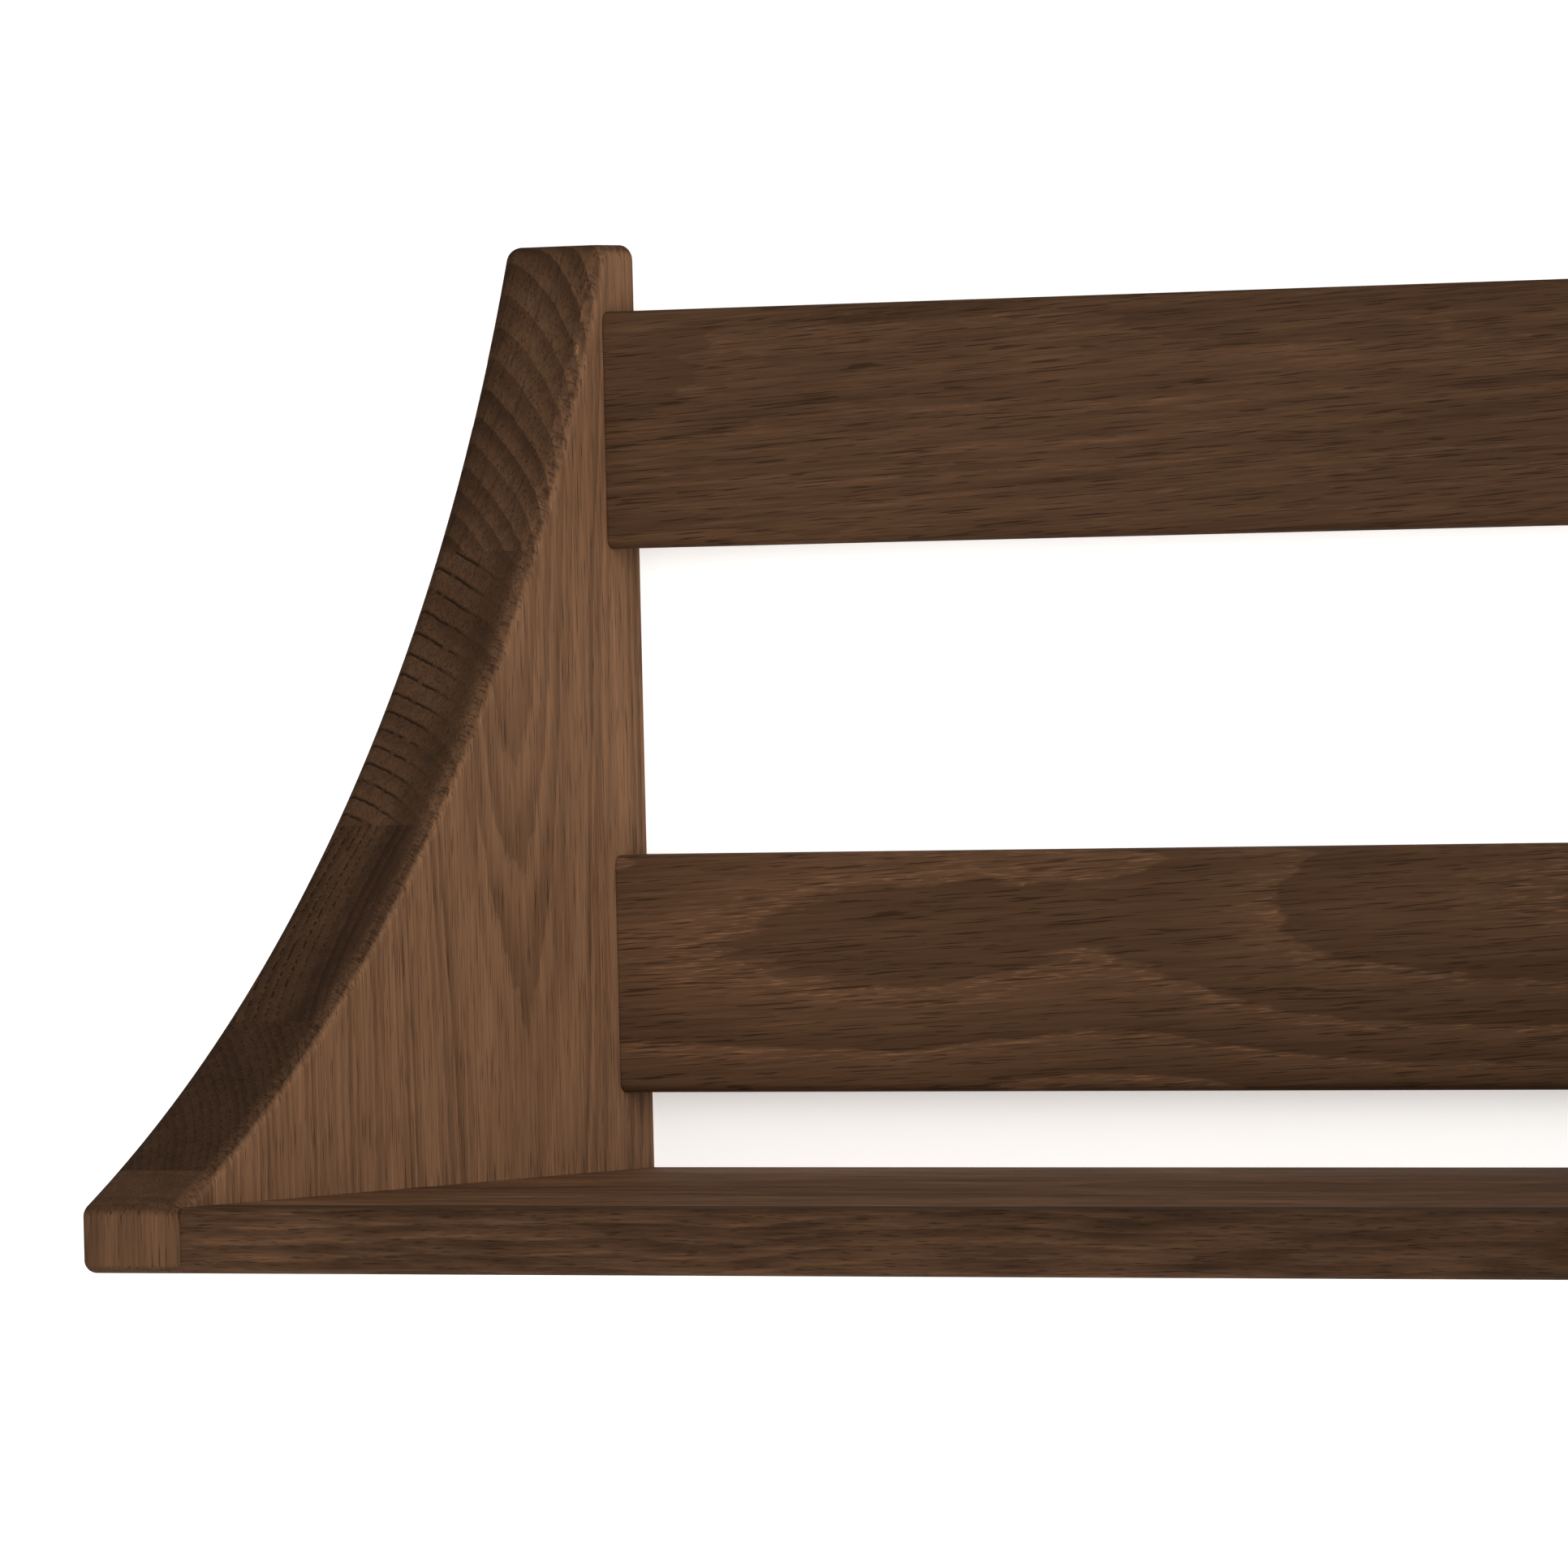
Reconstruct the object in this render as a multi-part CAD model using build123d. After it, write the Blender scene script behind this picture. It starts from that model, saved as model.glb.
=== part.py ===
"""Wall shelf: two end panels with a concave front edge, a shelf board and two back rails.

X runs along the shelf, +Y points into the wall and +Z is up. The wall plane is Y = 0. The pieces are
modelled with Z = 0 at the underside, then moved down so that the origin lies midway between the two
keyhole hangers. All sizes are in millimetres.
"""
from build123d import *
import os

# Whole shelf
LENGTH = 800.0
HEIGHT = 250.0
DEPTH = 215.0
HANGER_HEIGHT = 135.0

# End panels
SIDE_THICKNESS = 30.0
SIDE_TOP_DEPTH = 14.0
SIDE_CURVE_RADIUS = 425.0
SIDE_ROUNDING = 4.0

# Shelf board; its front rounding is also that of the panels' bottom front edge
SHELF_THICKNESS = 16.0
SHELF_ROUNDING = 2.5

# Edge-glued staves of the panels and the board, counted from the wall
STAVE_WIDTH = 50.0
STAVE_COUNT = 5

# Back rails, each with its underside's height
RAIL_HEIGHT = 60.0
RAIL_THICKNESS = 15.0
RAIL_ROUNDING = 2.5
RAIL_UNDERSIDES = {"lower_rail": 35.5, "top_rail": 173.0}

# Dowels, with a thin glue film around them
DOWEL_RADIUS = 4.0
DOWEL_LENGTH = 40.0
DOWEL_CHAMFER = 1.0
GLUE_FILM = 0.15
DOWEL_END_GAP = 1.0
RAIL_DOWEL_INSET = 15.0
SHELF_DOWEL_COUNT = 4

# Keyhole hanger plates, let in flush with the back edge of each end panel
PLATE_WIDTH = 16.0
PLATE_HEIGHT = 54.0
PLATE_THICKNESS = 2.0
PLATE_GAP = 0.2
PLATE_SCREW_OFFSET = 21.0
KEYHOLE_ENTRY_RADIUS = 4.5
KEYHOLE_SLOT_WIDTH = 4.8
KEYHOLE_RISE = 11.0
POCKET_WIDTH = 12.0
POCKET_DEPTH = 9.0

# Countersunk wood screws that hold the hanger plates
SCREW_SHANK_RADIUS = 1.5
SCREW_HEAD_RADIUS = 3.0
SCREW_HEAD_SUNK = 0.1
SCREW_LENGTH = 16.0
SCREW_TIP_LENGTH = 3.0
SCREW_TIP_RADIUS = 0.3
SCREW_CLEARANCE = 0.15
SCREW_END_GAP = 1.0
CROSS_WIDTH = 0.8
CROSS_LENGTH = 3.2
CROSS_DEPTH = 0.9

# Places worked out from the sizes
OUTER_FACE = LENGTH / 2
INNER_FACE = OUTER_FACE - SIDE_THICKNESS
PANEL_MIDDLE = OUTER_FACE - SIDE_THICKNESS / 2
PLATE_MIDDLE_HEIGHT = HANGER_HEIGHT + KEYHOLE_RISE / 2
ON_FACE = 0.001


def block(low, high):
    """A box between two opposite corners."""
    return Box(*(top - bottom for bottom, top in zip(low, high)), align=(Align.MIN,) * 3).moved(
        Location(low)
    )


def edges_where(solid, test):
    """The edges whose middle point passes the test."""
    return [edge for edge in solid.edges() if test(edge.position_at(0.5))]


def staves(board):
    """The board split at its glue lines into upright or long staves, from the wall forwards."""
    strips = []
    for number in range(STAVE_COUNT):
        back = -number * STAVE_WIDTH
        strip = block((-LENGTH, back - STAVE_WIDTH, -HEIGHT), (LENGTH, back, 2 * HEIGHT))
        strips.append(board & strip)
    return strips


# End panel


def panel_outline():
    """The end panel seen from its side: a short top, a concave front edge and an upright nose."""
    curve_top = (-SIDE_TOP_DEPTH, HEIGHT)
    curve_bottom = (-DEPTH, SHELF_THICKNESS)
    outline = Polyline(curve_bottom, (-DEPTH, 0), (0, 0), (0, HEIGHT), curve_top)
    outline += RadiusArc(curve_top, curve_bottom, SIDE_CURVE_RADIUS)
    return make_face(Plane.YZ * outline)


def rounded_panel():
    """The left end panel in one piece, rounded all round except on the wall and under the shelf."""
    panel = extrude(panel_outline(), SIDE_THICKNESS).moved(Location((-OUTER_FACE, 0, 0)))

    def is_rounded(point):
        outer = point.X < -OUTER_FACE + ON_FACE and point.Y < -ON_FACE
        top = point.Z > HEIGHT - ON_FACE and point.Y < -ON_FACE
        above_shelf = point.Z > SHELF_THICKNESS - ON_FACE and point.Y < -ON_FACE
        return outer or top or above_shelf

    panel = fillet(edges_where(panel, is_rounded), SIDE_ROUNDING)

    def is_bottom_front(point):
        return point.Z < ON_FACE and point.Y < -DEPTH + ON_FACE

    return fillet(edges_where(panel, is_bottom_front), SHELF_ROUNDING)


# Dowels


def dowel_places():
    """The (depth, height) of each dowel at one end, for the rails and for the shelf board."""
    rail_places = []
    for underside in RAIL_UNDERSIDES.values():
        for height in (RAIL_DOWEL_INSET, RAIL_HEIGHT - RAIL_DOWEL_INSET):
            rail_places.append((-RAIL_THICKNESS / 2, underside + height))
    shelf_places = []
    for number in range(SHELF_DOWEL_COUNT):
        shelf_places.append((-(number + 0.5) * STAVE_WIDTH, SHELF_THICKNESS / 2))
    return rail_places, shelf_places


def rod(radius, length, depth, height):
    """A round bar along X, centred on the left panel's inner face."""
    bar = Cylinder(radius, length, rotation=(0, 90, 0))
    return bar.moved(Location((-INNER_FACE, depth, height)))


def dowel(depth, height):
    bar = rod(DOWEL_RADIUS, DOWEL_LENGTH, depth, height)
    return chamfer(bar.edges().filter_by(GeomType.CIRCLE), DOWEL_CHAMFER)


def dowel_hole(depth, height):
    return rod(DOWEL_RADIUS + GLUE_FILM, DOWEL_LENGTH + 2 * DOWEL_END_GAP, depth, height)


# Keyhole hanger


def upright_slot(width, height, middle_height, front, back):
    """A slot with round ends, standing on the left panel's back edge, between two Y planes."""
    outline = SlotOverall(height, width, rotation=90)
    plane = Plane(origin=(-PANEL_MIDDLE, back, middle_height), x_dir=(1, 0, 0), z_dir=(0, -1, 0))
    return extrude(plane * outline, back - front)


def screw_heights():
    return (PLATE_MIDDLE_HEIGHT - PLATE_SCREW_OFFSET, PLATE_MIDDLE_HEIGHT + PLATE_SCREW_OFFSET)


def screw_body(clearance, tip_radius, tip_length, end_gap):
    """A countersunk screw, or its hole where it has clearance, along -Y with its head at Y = 0."""
    shank = SCREW_SHANK_RADIUS + clearance
    head = SCREW_HEAD_RADIUS + clearance
    end = -SCREW_LENGTH - end_gap
    sunk = 0 if clearance else -SCREW_HEAD_SUNK
    head_bottom = sunk - (head - shank)
    outline = Polyline(
        (0, sunk),
        (head, sunk),
        (shank, head_bottom),
        (shank, end + tip_length),
        (tip_radius, end),
        (0, end),
        close=True,
    )
    return revolve(make_face(outline), Axis.Y)


def screw():
    body = screw_body(0, SCREW_TIP_RADIUS, SCREW_TIP_LENGTH, 0)
    slot = Box(CROSS_LENGTH, 2 * CROSS_DEPTH, CROSS_WIDTH).moved(Location((0, -SCREW_HEAD_SUNK, 0)))
    return body - slot - slot.rotate(Axis.Y, 90)


def screw_hole():
    shank = SCREW_SHANK_RADIUS + SCREW_CLEARANCE
    return screw_body(SCREW_CLEARANCE, shank, 0.5, SCREW_END_GAP)


def on_panel_back(piece):
    """The piece once at each screw of the left hanger plate."""
    return [piece.moved(Location((-PANEL_MIDDLE, 0, height))) for height in screw_heights()]


def hanger_plate():
    plate = upright_slot(PLATE_WIDTH, PLATE_HEIGHT, PLATE_MIDDLE_HEIGHT, -PLATE_THICKNESS, 0)
    entry = Cylinder(KEYHOLE_ENTRY_RADIUS, 4 * PLATE_THICKNESS, rotation=(90, 0, 0))
    entry = entry.moved(Location((-PANEL_MIDDLE, 0, HANGER_HEIGHT)))
    slot_height = KEYHOLE_RISE + KEYHOLE_SLOT_WIDTH
    slot = upright_slot(
        KEYHOLE_SLOT_WIDTH, slot_height, PLATE_MIDDLE_HEIGHT, -2 * PLATE_THICKNESS, PLATE_THICKNESS
    )
    return plate - entry - slot - on_panel_back(screw_hole())


def hanger_recess():
    """The room for the hanger plate, and behind its keyhole for the head of the wall screw."""
    gap = 2 * PLATE_GAP
    seat = upright_slot(
        PLATE_WIDTH + gap, PLATE_HEIGHT + gap, PLATE_MIDDLE_HEIGHT, -PLATE_THICKNESS, PLATE_THICKNESS
    )
    pocket = upright_slot(
        POCKET_WIDTH,
        POCKET_WIDTH + KEYHOLE_RISE,
        PLATE_MIDDLE_HEIGHT,
        -PLATE_THICKNESS - POCKET_DEPTH,
        0,
    )
    return [seat, pocket] + on_panel_back(screw_hole())


# Shelf board and rails


def rounded_front_board(underside, height, depth, rounding):
    """A board from panel to panel against the wall, with both long front edges rounded."""
    board = block((-INNER_FACE, -depth, underside), (INNER_FACE, 0, underside + height))
    front = edges_where(board, lambda point: point.Y < -depth + ON_FACE and abs(point.X) < ON_FACE)
    return fillet(front, rounding)


def both_ends(pieces):
    return pieces + [mirror(piece, Plane.YZ) for piece in pieces]


def build_nodes():
    """Every sub-part by its node's name, with Z = 0 at the underside."""
    rail_places, shelf_places = dowel_places()
    holes = [dowel_hole(*place) for place in rail_places + shelf_places]
    nodes = {}

    left_panel = rounded_panel() - holes - hanger_recess()
    left_end = {"rail_dowels": Compound([dowel(*place) for place in rail_places])}
    left_end["shelf_dowels"] = Compound([dowel(*place) for place in shelf_places])
    left_end["hanger_plate"] = hanger_plate()
    for number, stave in enumerate(staves(left_panel), start=1):
        left_end[f"side_stave_{number}"] = stave
    for name, piece in left_end.items():
        nodes[f"left_{name}"] = piece
        nodes[f"right_{name}"] = mirror(piece, Plane.YZ)
    nodes["hanger_screws"] = Compound(both_ends(on_panel_back(screw())))

    shelf = rounded_front_board(0, SHELF_THICKNESS, DEPTH, SHELF_ROUNDING)
    shelf -= both_ends(holes)
    for number, stave in enumerate(staves(shelf), start=1):
        nodes[f"shelf_stave_{number}"] = stave

    for name, underside in RAIL_UNDERSIDES.items():
        rail = rounded_front_board(underside, RAIL_HEIGHT, RAIL_THICKNESS, RAIL_ROUNDING)
        nodes[name] = rail - both_ends(holes)
    return nodes


os.makedirs("parts", exist_ok=True)
for name, piece in build_nodes().items():
    export_step(piece.moved(Location((0, 0, -HANGER_HEIGHT))), f"parts/{name}.step")
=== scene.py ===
import math

import bpy
from mathutils import Matrix, Vector


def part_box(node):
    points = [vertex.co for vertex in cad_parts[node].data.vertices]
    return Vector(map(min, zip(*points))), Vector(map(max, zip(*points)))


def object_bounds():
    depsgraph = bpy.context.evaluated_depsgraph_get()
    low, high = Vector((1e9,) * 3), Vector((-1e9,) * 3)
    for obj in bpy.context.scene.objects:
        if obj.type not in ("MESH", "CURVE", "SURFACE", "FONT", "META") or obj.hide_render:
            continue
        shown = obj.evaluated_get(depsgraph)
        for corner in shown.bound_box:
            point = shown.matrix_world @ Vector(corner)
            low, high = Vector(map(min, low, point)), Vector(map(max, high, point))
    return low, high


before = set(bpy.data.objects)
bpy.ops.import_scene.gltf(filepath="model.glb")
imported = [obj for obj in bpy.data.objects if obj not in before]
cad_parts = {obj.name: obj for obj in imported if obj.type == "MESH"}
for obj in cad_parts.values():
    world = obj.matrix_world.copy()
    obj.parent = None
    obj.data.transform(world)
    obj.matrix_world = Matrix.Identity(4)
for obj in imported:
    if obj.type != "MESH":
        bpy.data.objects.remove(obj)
cad_low, cad_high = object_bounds()

# All lengths are in metres and all angles in degrees.

# Camera: a long lens, to the right of the left end panel and turned towards it
LENS = 355.5
SENSOR_WIDTH = 36.0
VIEW_DISTANCE = 3.905
VIEW_YAW = -31.89
VIEW_PITCH = -0.83
VIEW_ROLL = -1.38
TARGET_FROM_PANEL = 0.0415
TARGET_ABOVE_UNDERSIDE = 0.1127

# Studio
WALL_GAP = 0.0004
WALL_SIZE = (7.0, 4.0)
FLOOR_DROP = 1.0
FLOOR_REACH = 45.0
PAINT_TONE = 0.86
PAINT_TINT = (1.0, 0.98, 0.96)
ROLLER_SIZE = (0.003, 0.003, 0.003)
ROLLER_RELIEF = 0.0002
# Both are a little brighter than the lights make them, as in an over-exposed studio
WALL_GLOW = 0.50
FLOOR_GLOW = 0.50
WORLD_STRENGTH = 0.30
# Each light: direction from the object's centre (to the right, towards the viewer, up), size, watts
LIGHTS = {
    "key": ((3.0, 1.3, 0.5), 2.0, 112.0),
    "fill": ((0.6, 3.0, 0.3), 2.2, 20.0),
    "top": ((0.4, 1.2, 2.6), 1.8, 12.0),
    "back_fill": ((-0.9, -2.6, 0.8), 2.0, 60.0),
}

# Smoked oak, from its darkest pores to its palest fibres
OAK_DARK = (0.010, 0.0050, 0.0028)
OAK_PALE = (0.300, 0.1530, 0.0790)
OAK_SHEEN = 0.03
# Its roughness on the darkest fibres, and how much rougher it is on the palest
OAK_ROUGHNESS = (0.45, 0.30)
OAK_RELIEF = 0.00015

# Noise in the oak: size across the grain, size along it, shift, detail and roughness
SLOW_WAVER = (0.045, 0.15, 3.0, 1.0, 0.5)
QUICK_WAVER = (0.0028, 0.018, 7.0, 3.0, 0.6)
BROAD_STREAKS = (0.012, 0.14, 29.0, 2.0, 0.5)
COARSE_STREAKS = (0.0030, 0.06, 11.0, 3.0, 0.6)
FINE_STREAKS = (0.0007, 0.035, 17.0, 3.0, 0.65)
PORE_DASHES = (0.00042, 0.014, 23.0, 1.0, 0.5)
PORE_DOTS = (0.0009, 0.012, 41.0, 1.0, 0.5)
GLINTS = (0.0005, 0.009, 31.0, 2.0, 0.5)
# Uneven steps that keep these noises, and the boards' seeds, apart
SHIFT_ACROSS = 2.7
SEED_ALONG = 1.3
# How far single fibres wander off their ring, and what part of that is left on end grain
FIBRE_WANDER = 0.0018
END_WANDER = 0.35

# How deep the streaks and the pores are, and where the noise turns into a pore
BROAD_DEPTH = 0.7
COARSE_DEPTH = 1.1
FINE_DEPTH = 1.4
# How closely the fine streaks follow how streaky a board is, where 1 is as closely as the others
FINE_FOLLOWS = 0.4
PORE_DEPTH = 0.55
PORE_EDGE = (0.60, 0.68)

# Growth rings: parts of a ring, from 0 where its pores start to 1 at the next ring
LATE_WOOD = (0.0, 0.9)
RING_START = (0.96, 1.0)
PORE_ROW_START = (0.93, 1.0)
PORE_ROW_END = 0.20
DOTTED_ROW_END = 0.32
# The painted glints on the pores fade out over this part of a ring
PAINTED_GLINTS_END = (0.02, 0.40)
# Where the noise breaks a pore row into dots or strokes, and where it shows a painted glint or a ray
ROW_DOTS = (0.44, 0.54)
ROW_STROKES = (0.30, 0.50)
PAINTED_GLINT_EDGE = (0.52, 0.66)
RAY_EDGE = (0.62, 0.72)
# A pore row is this weak in the middle of a dark stripe
ROW_IN_STAIN = 0.2
# Rays: how many fit in a radian, their length across the rings and their height along the grain
RAYS_PER_RADIAN = 90.0
RAY_LENGTH = 0.007
RAY_HEIGHT = 0.02
# Rings get weaker and stronger over about this many of them: where the noise turns from weak to
# strong, and how far from usual the weakest and strongest are
RINGS_ALIKE = 2.5
RING_CONTRAST = (0.35, 0.65)
RING_SPREAD = 0.7

# End grain shows where the normal's part along the grain is more than this, and fades out where its
# part through the thickness goes from the first to the second of these
END_FROM = 0.02
FACE_SHOWS = (0.72, 0.97)
# The rounded edge, by the same part through the thickness, and its short torn fibres
EDGE_STARTS = (0.15, 0.5)
EDGE_STOPS = (0.93, 0.995)
TEAR_WIDTH = 0.0011
TEAR_LENGTH = 0.004
TEAR_SPACING = 0.009
TEAR_EDGE = (0.52, 0.62)
TEAR_DEPTH = 0.45
EDGE_PALER = 0.25

# Painted shade in the joint at a board's ends: where it starts and stops, and how light it is
JOINT_SHADE = (0.0001, 0.0008)
JOINT_SHADE_TONE = 0.75


# Places read from the frame


def corner(node, axis, end):
    """One coordinate of a node's lowest corner, end 0, or its highest, end 1."""
    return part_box(node)[end][axis]


UNDERSIDE = corner("left_side_stave_1", 2, 0)
INNER_FACE = corner("right_side_stave_1", 0, 0)
STAVE_WIDTH = corner("left_side_stave_1", 1, 1) - corner("left_side_stave_1", 1, 0)
STAVE_NUMBERS = range(1, 6)


# Shader graph helper


class Graph:
    """Adds shader nodes to one material, and wires sockets or plain values into them."""

    def __init__(self, name):
        self.material = bpy.data.materials.new(name)
        self.material.use_nodes = True
        self.tree = self.material.node_tree
        self.tree.nodes.clear()
        self.output = self.node("ShaderNodeOutputMaterial")

    def node(self, kind, **settings):
        node = self.tree.nodes.new(kind)
        for key, value in settings.items():
            setattr(node, key, value)
        return node

    def feed(self, socket, value):
        if isinstance(value, bpy.types.NodeSocket):
            self.tree.links.new(value, socket)
        else:
            socket.default_value = value

    def math(self, operation, *values, clamp=False):
        node = self.node("ShaderNodeMath", operation=operation, use_clamp=clamp)
        for socket, value in zip(node.inputs, values):
            self.feed(socket, value)
        return node.outputs[0]

    def combine(self, x, y, z):
        node = self.node("ShaderNodeCombineXYZ")
        for socket, value in zip(node.inputs, (x, y, z)):
            self.feed(socket, value)
        return node.outputs[0]

    def split(self, vector):
        node = self.node("ShaderNodeSeparateXYZ")
        self.feed(node.inputs[0], vector)
        return node.outputs

    def noise(self, vector, detail=2.0, roughness=0.5):
        """Noise whose features are about one unit of the vector across, around a mean of 0.5."""
        node = self.node("ShaderNodeTexNoise")
        self.feed(node.inputs["Vector"], vector)
        self.feed(node.inputs["Scale"], 1.0)
        self.feed(node.inputs["Detail"], detail)
        self.feed(node.inputs["Roughness"], roughness)
        return node.outputs["Fac"]

    def ramp(self, value, low, high, out_low=0.0, out_high=1.0):
        """A smooth step from out_low to out_high as the value goes from low to high."""
        node = self.node("ShaderNodeMapRange", interpolation_type="SMOOTHSTEP")
        for socket, item in zip(node.inputs, (value, low, high, out_low, out_high)):
            self.feed(socket, item)
        return node.outputs[0]

    def blend(self, factor, first, second):
        node = self.node("ShaderNodeMix", data_type="FLOAT")
        for socket, value in zip(node.inputs[:1] + node.inputs[2:4], (factor, first, second)):
            self.feed(socket, value)
        return node.outputs[0]

    def colour(self, factor, first, second):
        node = self.node("ShaderNodeMix", data_type="RGBA")
        self.feed(node.inputs[0], factor)
        self.feed(node.inputs[6], (*first, 1.0))
        self.feed(node.inputs[7], (*second, 1.0))
        return node.outputs[2]

    def stretched(self, sizes, detail=2.0):
        """Noise over the object, with features of these sizes along X, Y and Z."""
        position = self.split(self.node("ShaderNodeTexCoord").outputs["Object"])
        parts = (self.math("MULTIPLY", part, 1 / size) for part, size in zip(position, sizes))
        return self.noise(self.combine(*parts), detail)

    def roughness(self, shader, value, least, more):
        """Sets how rough the shader is, from least where the value is 0 to that much more at 1."""
        self.feed(shader.inputs["Roughness"], self.math("MULTIPLY_ADD", value, more, least))

    def relief(self, shader, height, strength, distance):
        """Raises the shader's surface by the height, as bumps this strong and this high."""
        bump = self.node("ShaderNodeBump")
        bump.inputs["Strength"].default_value = strength
        bump.inputs["Distance"].default_value = distance
        self.feed(bump.inputs["Height"], height)
        self.feed(shader.inputs["Normal"], bump.outputs["Normal"])


# Oak
#
# Every board has its own axes: u through its thickness, v across its width and w along the grain.
# The growth rings are shells around a pith line, which runs roughly along w but leans and swells.


class Cut:
    """Where a board was cut from its log, and how its growth rings show on it.

    u and v place the pith, lean and slope tilt it in u and v, and swell pushes it away in u over a
    length around swell_at. figure is how much each ring darkens before the next one starts and uneven
    how much that differs from ring to ring. line is how dark the row of pores is that starts a ring,
    dotted if its pores show one by one, and flecks is how much paler its pores are painted where they
    would catch the light, as painted glints. stain gives the place in u, the half width and the depth
    of a dark stripe, and waver is how far the rings wander over the whole board.
    """

    def __init__(
        self, u, v, ring, lean=0.0, slope=0.0, swell=0.0, swell_at=0.0, swell_length=0.04,
        figure=0.3, uneven=1.0, line=0.0, dotted=False, flecks=0.0, rays=0.0, waver=0.004, stain=None,
    ):
        self.u = u
        self.v = v
        self.ring = ring
        self.lean = lean
        self.slope = slope
        self.swell = swell
        self.swell_at = swell_at
        self.swell_length = swell_length
        self.figure = figure
        self.uneven = uneven
        self.line = line
        self.dotted = dotted
        self.flecks = flecks
        self.rays = rays
        self.waver = waver
        self.stain = stain


def bell(g, value, middle, width):
    """A smooth bump, 1 where the value is at the middle and fading over the width to both sides."""
    off = g.math("MULTIPLY_ADD", value, 1 / width, -middle / width)
    return g.math("EXPONENT", g.math("MULTIPLY", g.math("MULTIPLY", off, off), -1.0))


def darken(g, shade, mask, depth):
    """The shade, less the depth where the mask is 1. A negative depth lightens."""
    return g.math("MULTIPLY", shade, g.math("MULTIPLY_ADD", mask, -depth, 1.0))


def ring_shade(g, u, v, w, cut, slow, quick, coarse, dots, glints, seed):
    """How much the growth rings lighten or darken the wood, around 1."""
    swell = bell(g, w, cut.swell_at, cut.swell_length)
    pith_u = g.math("MULTIPLY_ADD", swell, -cut.swell, g.math("MULTIPLY_ADD", w, cut.lean, cut.u))
    pith_v = g.math("MULTIPLY_ADD", w, cut.slope, cut.v)
    off_u = g.math("SUBTRACT", u, pith_u)
    off_v = g.math("SUBTRACT", v, pith_v)
    squares = g.math("ADD", g.math("MULTIPLY", off_u, off_u), g.math("MULTIPLY", off_v, off_v))
    waver = g.math("MULTIPLY_ADD", slow, cut.waver, quick)
    radius = g.math("ADD", waver, g.math("SQRT", squares))
    year = g.math("FRACT", g.math("MULTIPLY", radius, 1 / cut.ring))

    late = g.math("MINIMUM", g.ramp(year, *LATE_WOOD), g.ramp(year, *RING_START, 1.0, 0.0))
    across_rings = g.math("MULTIPLY", radius, 1 / (RINGS_ALIKE * cut.ring))
    ring_to_ring = g.noise(g.combine(across_rings, w, seed), detail=1.0)
    spread = RING_SPREAD * cut.uneven
    weakest, strongest = -(1.0 - spread) * cut.figure, -(1.0 + spread) * cut.figure
    strength = g.ramp(ring_to_ring, *RING_CONTRAST, weakest, strongest)
    shade = g.math("MULTIPLY_ADD", late, strength, 1.0 + 0.5 * cut.figure)

    if cut.line:
        row_end = DOTTED_ROW_END if cut.dotted else PORE_ROW_END
        row = g.math("MAXIMUM", g.ramp(year, 0.0, row_end, 1.0, 0.0), g.ramp(year, *PORE_ROW_START))
        broken = g.ramp(dots, *ROW_DOTS) if cut.dotted else g.ramp(coarse, *ROW_STROKES)
        row = g.math("MULTIPLY", row, broken)
        if cut.stain:
            middle, width, depth = cut.stain
            row = g.math("MULTIPLY", row, g.ramp(u, middle, middle + 2 * width, ROW_IN_STAIN, 1.0))
        shade = darken(g, shade, row, cut.line)
    # Painted glints: pores near the start of a ring are painted paler where they would catch the light
    if cut.flecks:
        bright = g.math("MULTIPLY", g.ramp(glints, *PAINTED_GLINT_EDGE), g.ramp(year, *PAINTED_GLINTS_END, 1.0, 0.0))
        shade = darken(g, shade, bright, -cut.flecks)
    if cut.stain:
        middle, width, depth = cut.stain
        shade = darken(g, shade, bell(g, g.math("ADD", u, waver), middle, width), depth)
    if cut.rays:
        place = g.combine(
            g.math("MULTIPLY", g.math("ARCTAN2", off_v, off_u), RAYS_PER_RADIAN),
            g.math("MULTIPLY", radius, 1 / RAY_LENGTH),
            g.math("MULTIPLY_ADD", w, 1 / RAY_HEIGHT, seed),
        )
        shade = darken(g, shade, g.ramp(g.noise(place, detail=0.0), *RAY_EDGE), cut.rays)
    return shade


def torn_edge(g, u, v, w, facing, endness, level, seed):
    """The level of the end grain, paler on its rounded edge and darker in the edge's torn fibres."""
    edge = g.math("MULTIPLY", g.ramp(facing, *EDGE_STARTS), g.ramp(facing, *EDGE_STOPS, 1.0, 0.0))
    edge = g.math("MULTIPLY", edge, endness)
    tears = g.noise(
        g.combine(
            g.math("MULTIPLY_ADD", v, 1 / TEAR_WIDTH, g.math("MULTIPLY", w, -1 / TEAR_WIDTH)),
            g.math("MULTIPLY_ADD", u, 1 / TEAR_LENGTH, seed),
            g.math("MULTIPLY_ADD", w, 1 / TEAR_SPACING, g.math("MULTIPLY", v, 1 / TEAR_SPACING)),
        )
    )
    torn = g.math("MULTIPLY", g.ramp(tears, *TEAR_EDGE), edge)
    return darken(g, darken(g, level, torn, TEAR_DEPTH), edge, -EDGE_PALER)


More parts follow.
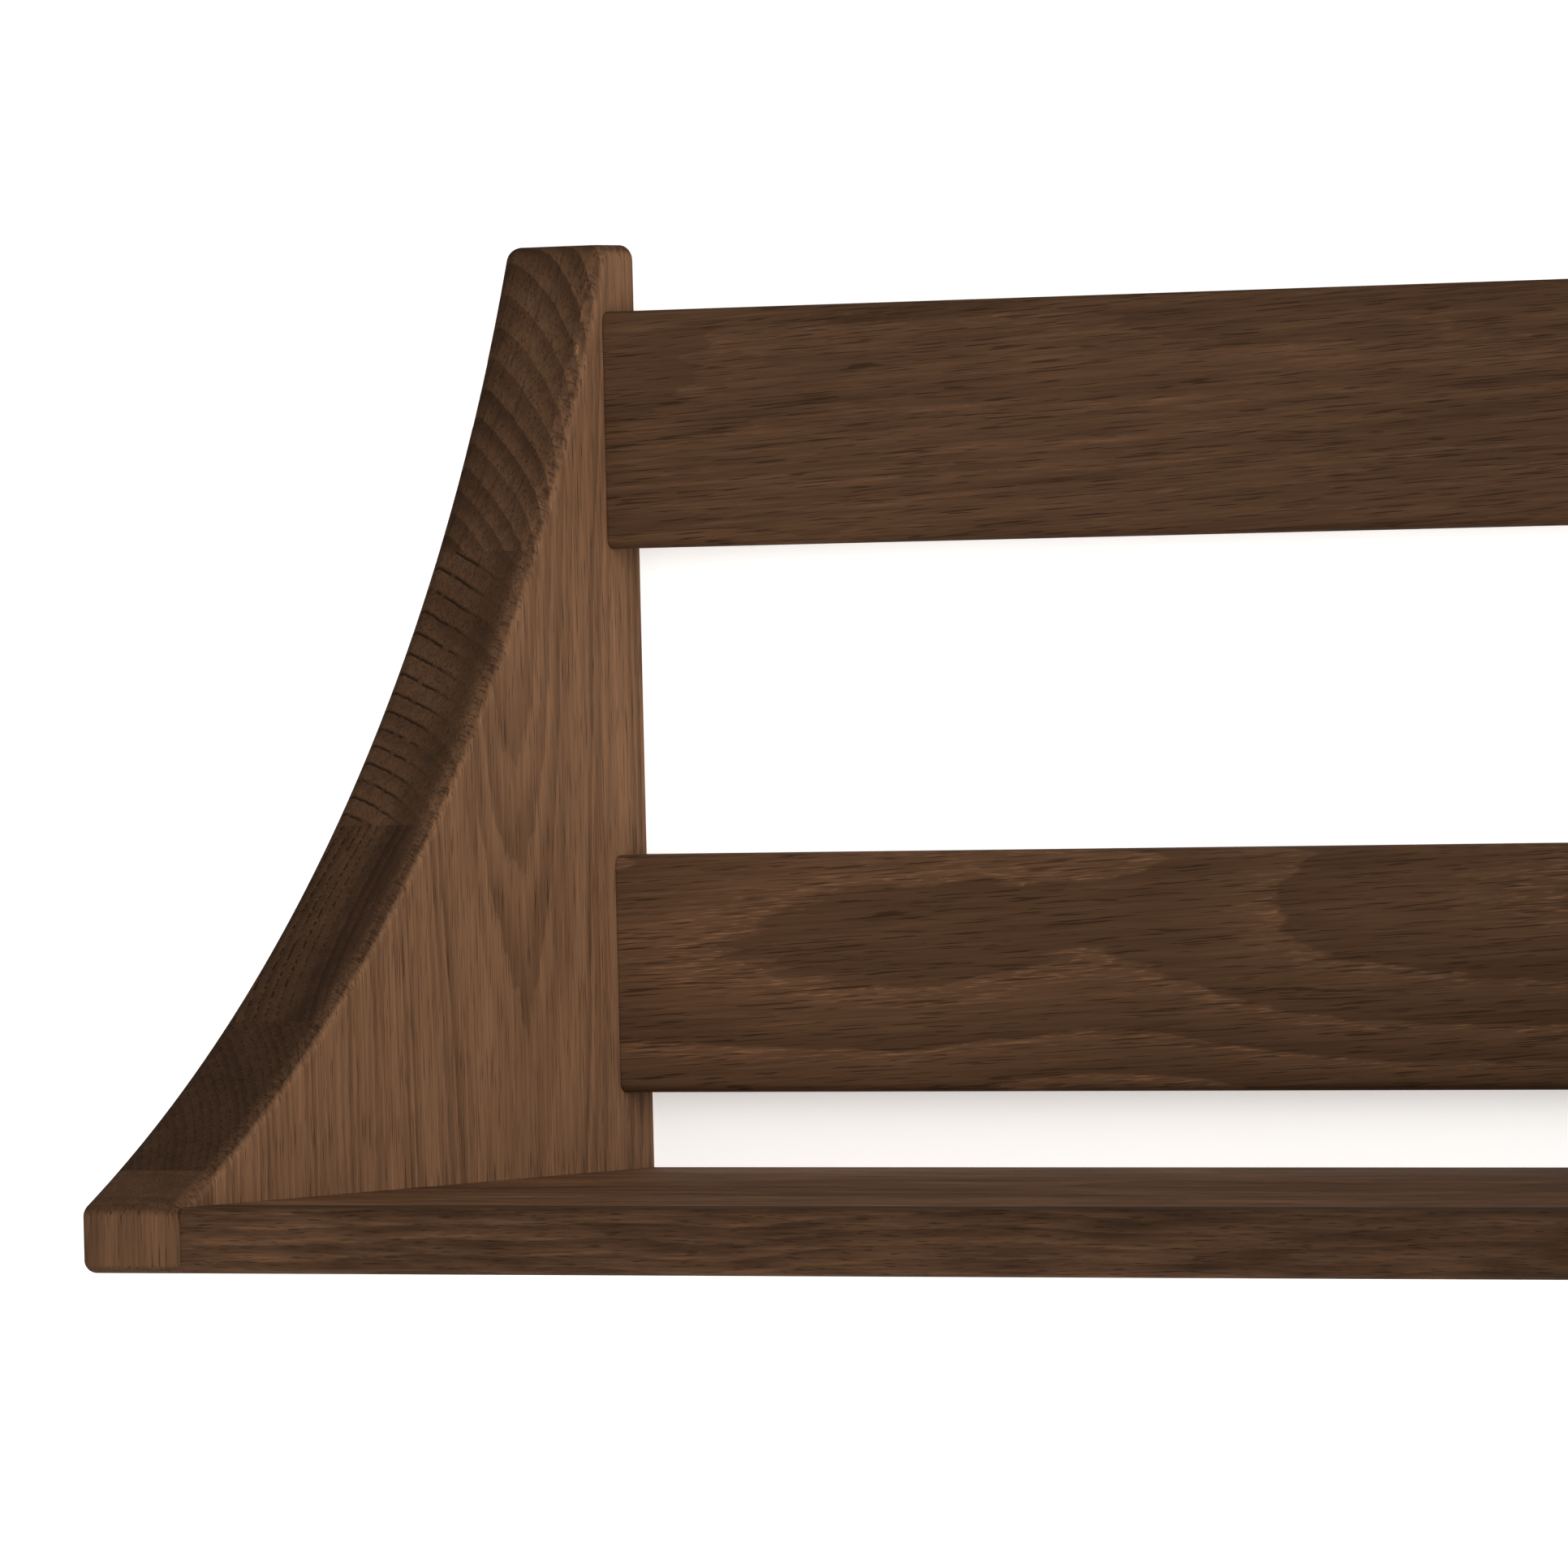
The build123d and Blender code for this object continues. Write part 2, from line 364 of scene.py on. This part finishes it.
def oak(
    name, axes, tone, face, end_tone=0.4, end=None, end_to=0.13, seed=0.0, drift=0.0, streaky=1.0,
    length=1.0, fade=None, half_length=None,
):
    """Smoked oak for one board.

    axes gives u, v and w as (component, sign, offset). tone and end_tone are how pale the long grain
    and the end grain are, and face and end are the cuts that draw them. The end grain is full where
    the normal's part along the grain reaches end_to. drift is how much the fibres run off across the
    board, streaky how strong their streaks are and length how long they are. fade gives two places
    along the grain and how light the board is at each. half_length, if given, paints shade into the
    joints at both ends.
    """
    g = Graph(name)
    position = g.split(g.node("ShaderNodeTexCoord").outputs["Object"])
    normal = g.split(g.node("ShaderNodeNewGeometry").outputs["Normal"])
    u, v, w = (g.math("MULTIPLY_ADD", position[part], sign, offset) for part, sign, offset in axes)
    run = g.math("MULTIPLY_ADD", w, -drift, v)

    def grain(across, along, shift, detail, roughness):
        """Noise in streaks so long across the grain and along it, each shift in a place of its own."""
        place = g.combine(
            g.math("MULTIPLY_ADD", u, 1 / across, seed + shift),
            g.math("MULTIPLY_ADD", run, 1 / across, SHIFT_ACROSS * shift),
            g.math("MULTIPLY_ADD", w, 1 / (along * length), SEED_ALONG * seed - shift),
        )
        return g.noise(place, detail, roughness)

    # The rings waver, slowly over the board and quickly from fibre to fibre
    slow = g.math("ADD", grain(*SLOW_WAVER), -0.5)
    quick = g.math("MULTIPLY", g.math("ADD", grain(*QUICK_WAVER), -0.5), FIBRE_WANDER)
    broad = grain(*BROAD_STREAKS)
    coarse = grain(*COARSE_STREAKS)
    fine = grain(*FINE_STREAKS)
    dots = grain(*PORE_DOTS)
    glints = grain(*GLINTS)
    pores = g.ramp(grain(*PORE_DASHES), *PORE_EDGE)

    shade = ring_shade(g, u, v, w, face, slow, quick, coarse, dots, glints, seed)
    level = tone
    if end:
        facing = g.math("ABSOLUTE", normal[axes[0][0]])
        endness = g.ramp(g.math("ABSOLUTE", normal[axes[2][0]]), END_FROM, end_to)
        endness = g.math("MULTIPLY", endness, g.ramp(facing, *FACE_SHOWS, 1.0, 0.0))
        quick = g.math("MULTIPLY", quick, END_WANDER)
        end_shade = ring_shade(g, u, v, w, end, slow, quick, coarse, dots, glints, seed)
        shade = g.blend(endness, shade, end_shade)
        level = torn_edge(g, u, v, w, facing, endness, g.blend(endness, tone, end_tone), seed)
    value = g.math("MULTIPLY", shade, level)
    depths = (BROAD_DEPTH * streaky, COARSE_DEPTH * streaky, FINE_DEPTH * streaky ** FINE_FOLLOWS)
    for streaks, depth in zip((broad, coarse, fine), depths):
        value = g.math("MULTIPLY", value, g.math("MULTIPLY_ADD", streaks, depth, 1.0 - depth / 2))
    value = darken(g, value, pores, PORE_DEPTH)
    # Painted shade in the joints where the board's ends meet the panels
    if half_length:
        reach = g.math("SUBTRACT", half_length, g.math("ABSOLUTE", w))
        value = g.math("MULTIPLY", value, g.ramp(reach, *JOINT_SHADE, JOINT_SHADE_TONE, 1.0))
    if fade:
        value = g.math("MULTIPLY", value, g.ramp(w, *fade))
    colour = g.colour(g.math("ADD", value, 0.0, clamp=True), OAK_DARK, OAK_PALE)

    shader = g.node("ShaderNodeBsdfPrincipled")
    g.feed(shader.inputs["Base Color"], colour)
    g.roughness(shader, fine, *OAK_ROUGHNESS)
    shader.inputs["Specular IOR Level"].default_value = OAK_SHEEN
    g.relief(shader, g.math("MULTIPLY_ADD", pores, -1.0, g.math("MULTIPLY", fine, 0.5)), 0.5, OAK_RELIEF)
    g.feed(g.output.inputs["Surface"], shader.outputs["BSDF"])
    return g.material


# Dowels and fittings

BEECH_PALE = (0.62, 0.44, 0.27)
BEECH_FLECK = (0.40, 0.24, 0.13)
BEECH_FLECK_SIZE = (0.004, 0.0006, 0.0006)
BEECH_FLECK_EDGE = (0.55, 0.7)
# Where it is smoothest, and how much rougher it gets, as for the zinc below
BEECH_ROUGHNESS = (0.60, 0.10)
# Each plating: its colour where it is bright, and where it is dull
PLATE_ZINC = ((0.62, 0.62, 0.60), (0.45, 0.45, 0.44))
SCREW_ZINC = ((0.66, 0.62, 0.50), (0.48, 0.45, 0.36))
ZINC_CLOUD_SIZE = (0.004, 0.004, 0.004)
ZINC_CLOUD_EDGE = (0.35, 0.65)
ZINC_SCRATCH_SIZE = (0.0004, 0.0004, 0.012)
ZINC_SCRATCH_DEPTH = 0.00005
ZINC_ROUGHNESS = (0.22, 0.25)


def beech(name):
    """Pale raw beech with short brown flecks along X, for the dowels."""
    g = Graph(name)
    flecks = g.ramp(g.stretched(BEECH_FLECK_SIZE), *BEECH_FLECK_EDGE)
    shader = g.node("ShaderNodeBsdfPrincipled")
    g.feed(shader.inputs["Base Color"], g.colour(flecks, BEECH_PALE, BEECH_FLECK))
    g.roughness(shader, flecks, *BEECH_ROUGHNESS)
    g.feed(g.output.inputs["Surface"], shader.outputs["BSDF"])
    return g.material


def zinc(name, bright, dull):
    """Zinc-plated steel: metal with a cloudy, slightly scratched plating."""
    g = Graph(name)
    clouds = g.stretched(ZINC_CLOUD_SIZE, detail=4.0)
    scratches = g.stretched(ZINC_SCRATCH_SIZE, detail=3.0)
    shader = g.node("ShaderNodeBsdfPrincipled")
    shader.inputs["Metallic"].default_value = 1.0
    g.feed(shader.inputs["Base Color"], g.colour(g.ramp(clouds, *ZINC_CLOUD_EDGE), bright, dull))
    g.roughness(shader, scratches, *ZINC_ROUGHNESS)
    g.relief(shader, scratches, 0.3, ZINC_SCRATCH_DEPTH)
    g.feed(g.output.inputs["Surface"], shader.outputs["BSDF"])
    return g.material


def finish_node(node, material):
    """Gives a CAD node its material in every slot."""
    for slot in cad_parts[node].material_slots:
        slot.link = "DATA"
        slot.material = material


# Boards
#
# A fade is two places along the grain, and how light the board is up to the first and from the second.

# The rails and the shelf are paler beside the left panel than from here on
FADE_END = -0.05

PANEL_FACE = Cut(-0.040, 0.060, 0.0030, lean=0.08, figure=0.26, line=0.10, waver=0.010)
PANEL_TONES = {1: 0.48, 2: 0.48, 3: 0.48, 4: 0.48, 5: 0.32}
# On the front stave the end grain comes in slowly, from its long front face to its top
PANEL_END_TO = {1: 0.13, 2: 0.13, 3: 0.13, 4: 0.13, 5: 0.60}
PANEL_FADE = (0.12, 0.18, 0.94, 0.86)
PANEL_END_TONES = {1: 0.208, 2: 0.205, 3: 0.160, 4: 0.121, 5: 0.200}
PANEL_END_CUTS = {
    1: Cut(0.050, 0.115, 0.0031, figure=0.55, uneven=0.3, rays=0.25, stain=(0.030, 0.009, 0.45)),
    2: Cut(0.047, 0.170, 0.0033, figure=0.20, line=0.95, rays=0.10, stain=(0.0075, 0.005, 0.35)),
    3: Cut(-0.070, 0.118, 0.0028, figure=0.32, line=0.95, dotted=True, stain=(0.008, 0.0055, 0.45)),
    4: Cut(0.080, 0.230, 0.0022, figure=0.25, line=0.60, dotted=True, rays=0.10),
    5: Cut(0.015, 0.300, 0.0030, figure=0.15),
}


def finish_panels():
    """The two end panels: their rings are mirror images, and their streaks differ."""
    for side, sign in (("left", -1), ("right", 1)):
        axes = ((0, sign, -INNER_FACE), (1, -1, 0.0), (2, 1, -UNDERSIDE))
        for number in STAVE_NUMBERS:
            node = f"{side}_side_stave_{number}"
            material = oak(
                node, axes, PANEL_TONES[number], PANEL_FACE,
                PANEL_END_TONES[number], PANEL_END_CUTS[number], PANEL_END_TO[number],
                seed=3.0 + 2.0 * sign, streaky=0.70, fade=PANEL_FADE,
            )
            finish_node(node, material)


SHELF_TONES = {1: 0.38, 2: 0.41, 3: 0.37, 4: 0.40, 5: 0.180}
SHELF_FADE = (-INNER_FACE, FADE_END, 1.05, 0.80)
SHELF_FRONT_FADE = (-0.25, 0.03, 1.03, 0.62)
# Each stave's pith lies this far to one side of its middle, to the other side on the next stave
SHELF_PITH_OFFSET = 0.013


def finish_shelf():
    axes = ((2, 1, -UNDERSIDE), (1, -1, 0.0), (0, 1, 0.0))
    for number in STAVE_NUMBERS:
        node = f"shelf_stave_{number}"
        pith = (number - 0.5) * STAVE_WIDTH + SHELF_PITH_OFFSET * (-1) ** number
        cut = Cut(-0.055, pith, 0.0036, lean=0.02, figure=0.25, waver=0.010)
        fade = SHELF_FRONT_FADE if number == STAVE_NUMBERS[-1] else SHELF_FADE
        material = oak(
            node, axes, SHELF_TONES[number], cut, seed=20.0 + number, streaky=1.7, length=0.5, fade=fade,
            half_length=INNER_FACE,
        )
        finish_node(node, material)


# flecks paints glints on the rails' pores, most on the lower rail
TOP_RAIL_CUT = Cut(-0.140, 0.090, 0.0026, slope=0.05, figure=0.15, flecks=0.30, waver=0.010)
# The swell draws the arched figure of the lower rail
LOWER_RAIL_CUT = Cut(
    -0.0293, 0.0554, 0.0054, lean=0.045, slope=0.055, swell=0.0040, swell_at=-0.222, swell_length=0.045,
    figure=0.36, uneven=0.1, flecks=0.8, waver=0.001,
)
# Each rail: tone, how streaky, fade and cut
RAILS = {
    "top_rail": (0.200, 1.0, (-INNER_FACE, FADE_END, 1.10, 0.86), TOP_RAIL_CUT),
    "lower_rail": (0.240, 0.55, (-INNER_FACE, FADE_END, 1.36, 0.80), LOWER_RAIL_CUT),
}


def finish_rails():
    for node, (tone, streaky, fade, cut) in RAILS.items():
        bottom = corner(node, 2, 0)
        axes = ((1, -1, 0.0), (2, 1, -bottom), (0, 1, 0.0))
        material = oak(
            node, axes, tone, cut, seed=5.0 + bottom, drift=0.05, streaky=streaky, fade=fade,
            half_length=INNER_FACE,
        )
        finish_node(node, material)


def finish_hardware():
    dowels = beech("raw_beech")
    plates = zinc("plate_zinc", *PLATE_ZINC)
    screws = zinc("screw_zinc", *SCREW_ZINC)
    for side in ("left", "right"):
        finish_node(f"{side}_rail_dowels", dowels)
        finish_node(f"{side}_shelf_dowels", dowels)
        finish_node(f"{side}_hanger_plate", plates)
    finish_node("hanger_screws", screws)


# Studio


def plane(name, corners, material):
    mesh = bpy.data.meshes.new(name)
    mesh.from_pydata(corners, [], [(0, 1, 2, 3)])
    mesh.materials.append(material)
    sheet = bpy.data.objects.new(name, mesh)
    bpy.context.scene.collection.objects.link(sheet)
    return sheet


def paint(name, glow):
    """Matt warm white paint with a faint roller texture, seen only from its front."""
    g = Graph(name)
    shader = g.node("ShaderNodeBsdfPrincipled")
    shader.inputs["Base Color"].default_value = (*(PAINT_TONE * part for part in PAINT_TINT), 1.0)
    shader.inputs["Roughness"].default_value = 0.9
    shader.inputs["Specular IOR Level"].default_value = 0.1
    shader.inputs["Emission Color"].default_value = (*PAINT_TINT, 1.0)
    shader.inputs["Emission Strength"].default_value = glow
    g.relief(shader, g.stretched(ROLLER_SIZE), 0.05, ROLLER_RELIEF)
    one_sided = g.node("ShaderNodeMixShader")
    g.feed(one_sided.inputs[0], g.node("ShaderNodeNewGeometry").outputs["Backfacing"])
    g.feed(one_sided.inputs[1], shader.outputs["BSDF"])
    g.feed(one_sided.inputs[2], g.node("ShaderNodeBsdfTransparent").outputs["BSDF"])
    g.feed(g.output.inputs["Surface"], one_sided.outputs["Shader"])
    return g.material


def build_stage():
    """A wall behind the shelf, which takes light but gives none back, and a floor far below it."""
    wall_y = cad_high.y + WALL_GAP
    half, height = WALL_SIZE[0] / 2, WALL_SIZE[1]
    low = UNDERSIDE - FLOOR_DROP
    high = low + height
    wall_corners = [(-half, wall_y, low), (half, wall_y, low), (half, wall_y, high), (-half, wall_y, high)]
    wall = plane("wall", wall_corners, paint("wall_paint", WALL_GLOW))
    wall.visible_diffuse = False
    wall.visible_glossy = False
    wall.visible_shadow = False
    wall.visible_transmission = False
    far = FLOOR_REACH
    floor_corners = [(-far, -far, low), (far, -far, low), (far, far, low), (-far, far, low)]
    plane("floor", floor_corners, paint("floor_paint", FLOOR_GLOW))


def build_lights():
    """An even dim surround, and soft lamps that the camera doesn't see."""
    world = bpy.data.worlds.new("studio")
    bpy.context.scene.world = world
    world.use_nodes = True
    background = world.node_tree.nodes["Background"]
    background.inputs["Color"].default_value = (1.0, 1.0, 1.0, 1.0)
    background.inputs["Strength"].default_value = WORLD_STRENGTH
    centre = Vector((-INNER_FACE, 0.0, 0.0))
    for name, ((right, near, up), size, watts) in LIGHTS.items():
        light = bpy.data.lights.new(name, "AREA")
        light.shape = "SQUARE"
        light.size = size
        light.energy = watts
        lamp = bpy.data.objects.new(name, light)
        offset = Vector((right, -near, up))
        lamp.location = centre + offset
        lamp.rotation_euler = (-offset).to_track_quat("-Z", "Y").to_euler()
        lamp.visible_camera = False
        lamp.visible_glossy = name != "back_fill"
        bpy.context.scene.collection.objects.link(lamp)


def build_camera():
    yaw, pitch, roll = (math.radians(angle) for angle in (VIEW_YAW, VIEW_PITCH, VIEW_ROLL))
    forward = Vector((math.sin(yaw) * math.cos(pitch), math.cos(yaw) * math.cos(pitch), math.sin(pitch)))
    level = Vector((math.cos(yaw), -math.sin(yaw), 0.0))
    upright = level.cross(forward)
    right = level * math.cos(roll) + upright * math.sin(roll)
    up = upright * math.cos(roll) - level * math.sin(roll)
    target = Vector((-INNER_FACE + TARGET_FROM_PANEL, cad_high.y, UNDERSIDE + TARGET_ABOVE_UNDERSIDE))

    data = bpy.data.cameras.new("camera")
    data.lens = LENS
    data.sensor_width = SENSOR_WIDTH
    camera = bpy.data.objects.new("camera", data)
    turn = Matrix((right, up, -forward)).transposed().to_4x4()
    camera.matrix_world = Matrix.Translation(target - forward * VIEW_DISTANCE) @ turn
    bpy.context.scene.collection.objects.link(camera)
    bpy.context.scene.camera = camera


finish_panels()
finish_shelf()
finish_rails()
finish_hardware()
build_stage()
build_lights()
build_camera()
bpy.context.scene.view_settings.view_transform = "Standard"
